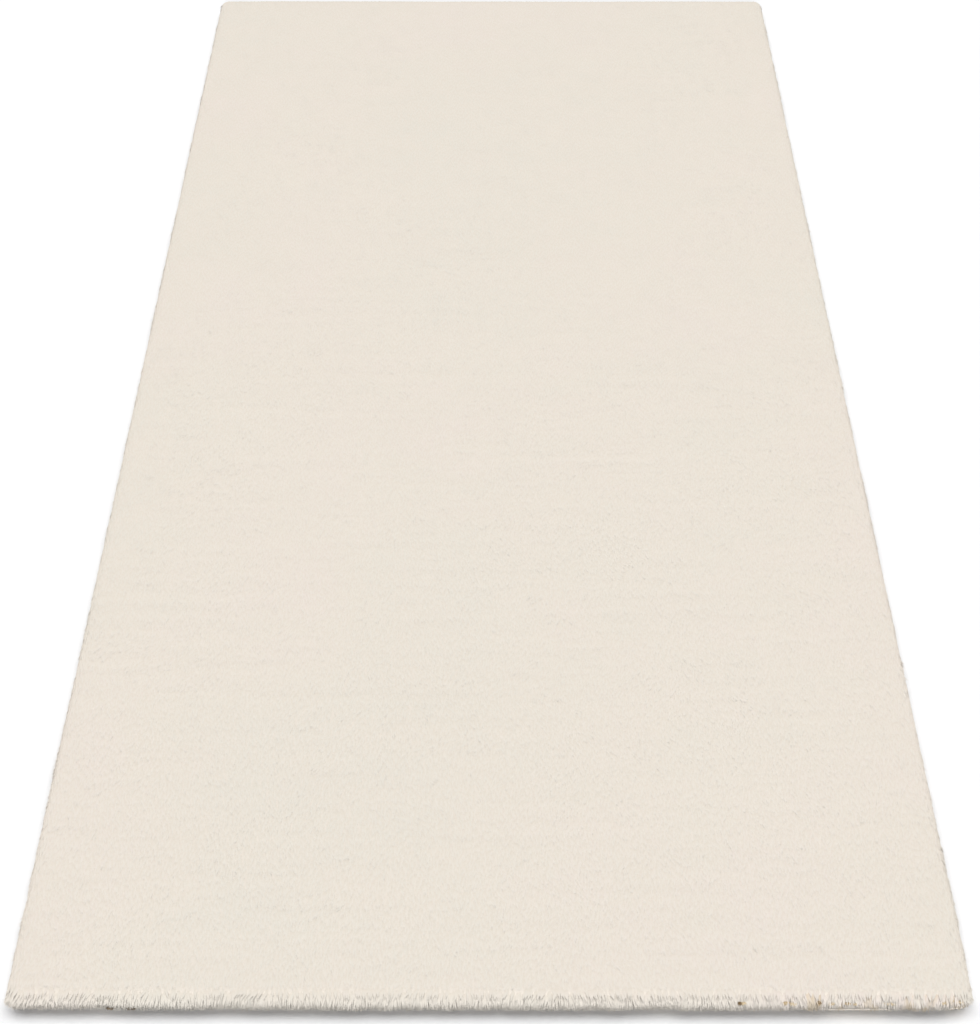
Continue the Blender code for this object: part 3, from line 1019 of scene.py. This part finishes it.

# %% [markdown]
# ## Parted spots, with painted shade
#
# Where the pile of the front edge is parted, its roots show as small brown spots: their tan is the
# roots' own, and their darker brown is painted shade from the parting. The two darkest, at the left end,
# are painted shadow of small gaps under the edge. The locks that are there are wider than a spot, so it
# isn't painted on them but is a pinch of short fine locks, strewn over an oval that faces forwards and
# up.

# %% Parted spots and painted shade
SPOTS = (
    # X, Y inwards of the edge, height, half width, half depth: all in millimetres; tint, locks
    (206.6, -2.0, 20.7, 1.6, 1.1, 0.94, 28),
    (209.6, -2.0, 20.7, 1.8, 1.0, 0.80, 15),
    (245.1, -1.7, 20.7, 3.2, 1.2, 0.84, 33),
    (250.6, -2.2, 20.1, 2.6, 0.9, 0.77, 16),
    (271.6, -1.7, 20.7, 1.8, 1.6, 0.91, 39),
    (282.1, -1.8, 20.1, 3.4, 0.9, 0.78, 16),
    (295.1, -1.9, 20.1, 2.8, 1.0, 0.84, 20),
    (301.6, -2.0, 20.1, 2.4, 0.8, 0.80, 12),
    (330.1, -1.9, 20.1, 4.6, 0.9, 0.77, 16),
    (375.1, -1.3, 20.1, 3.0, 1.2, 0.78, 16),
    (386.1, 0.1, 20.1, 5.6, 1.6, 0.78, 24),
    # these two, darkest of all, are painted shadow in gaps under the edge, not parted roots
    (-313.6, -4.3, 14.4, 3.2, 0.5, 1.00, 60),
    (-296.0, -4.3, 14.4, 4.2, 0.5, 1.00, 80),
)
SPOT_GROUND = (0.0, -0.5, 0.866)  # the ovals face forwards and up
SPOT_FALL = 0.45  # down for each unit forwards
SPOT_SWAY = 0.35
SPOT_LENGTH, SPOT_WIDTH = 1.5, 0.7  # the least, in millimetres
SPOT_TINT_CHANCE = 0.03
DARKEST_TINT = 0.98


def spot_locks(chance):
    """What locks() takes: each spot's row repeated once for each lock, whose root is the oval's middle
    plus, at a chance angle, the square root of a chance share of its half sizes."""
    spots = np.array(SPOTS)
    at, inset, height, wide, deep, tint, _ = np.repeat(spots, spots[:, 6].astype(int), axis=0).T
    count = at.size
    angle, radius = chance.uniform(0.0, 2.0 * math.pi, count), np.sqrt(chance.uniform(0.0, 1.0, count))
    x = (at + wide * radius * np.cos(angle)) * MM
    y = (inset + deep * radius * np.sin(angle)) * MM - HALF_Y
    roots = np.stack([x, y, height * MM], 1)
    ground = np.tile(SPOT_GROUND, (count, 1))
    sway = chance.normal(0.0, SPOT_SWAY, count)
    directions = unit(np.stack([sway, -np.ones(count), np.full(count, -SPOT_FALL)], 1))
    lengths, widths = (chance.uniform(low, low * 1.6, count) * MM for low in (SPOT_LENGTH, SPOT_WIDTH))
    shading = unit(ground + SHADE_UP * UP)
    tints = np.clip(tint + chance.normal(0.0, SPOT_TINT_CHANCE, count), 0, DARKEST_TINT)
    return roots, directions, lengths, widths, ground, shading, tints


# short brown locks: the roots' own tan with painted shade, and painted shadow at the left end
pile_pieces.append(locks("parted_root_and_shade_spots", *spot_locks(np.random.default_rng(8)), softness=0.9))
print("worn spots:", len(SPOTS))

# %% [markdown]
# ## Putting the rug together
#
# Each piece is attached to the body it moves with, and the CAD solid it stands for is hidden. Each
# keeps the material slot that it was given when it was made.

# %% Declarations
for piece in (pile_body, *pile_pieces):
    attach(piece, "root")
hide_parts("plush_pile")
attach(backing_cloth, "root")
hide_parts("backing_sheet")
print("declared", 2 + len(pile_pieces), "pieces")

# %% Sizes and the end
meshes = [piece.data for piece in (backing_cloth, pile_body, *pile_pieces)]
triangles = {mesh.name: len(mesh.loops) - 2 * len(mesh.polygons) for mesh in meshes}
print("triangles", triangles, "in all", sum(triangles.values()))
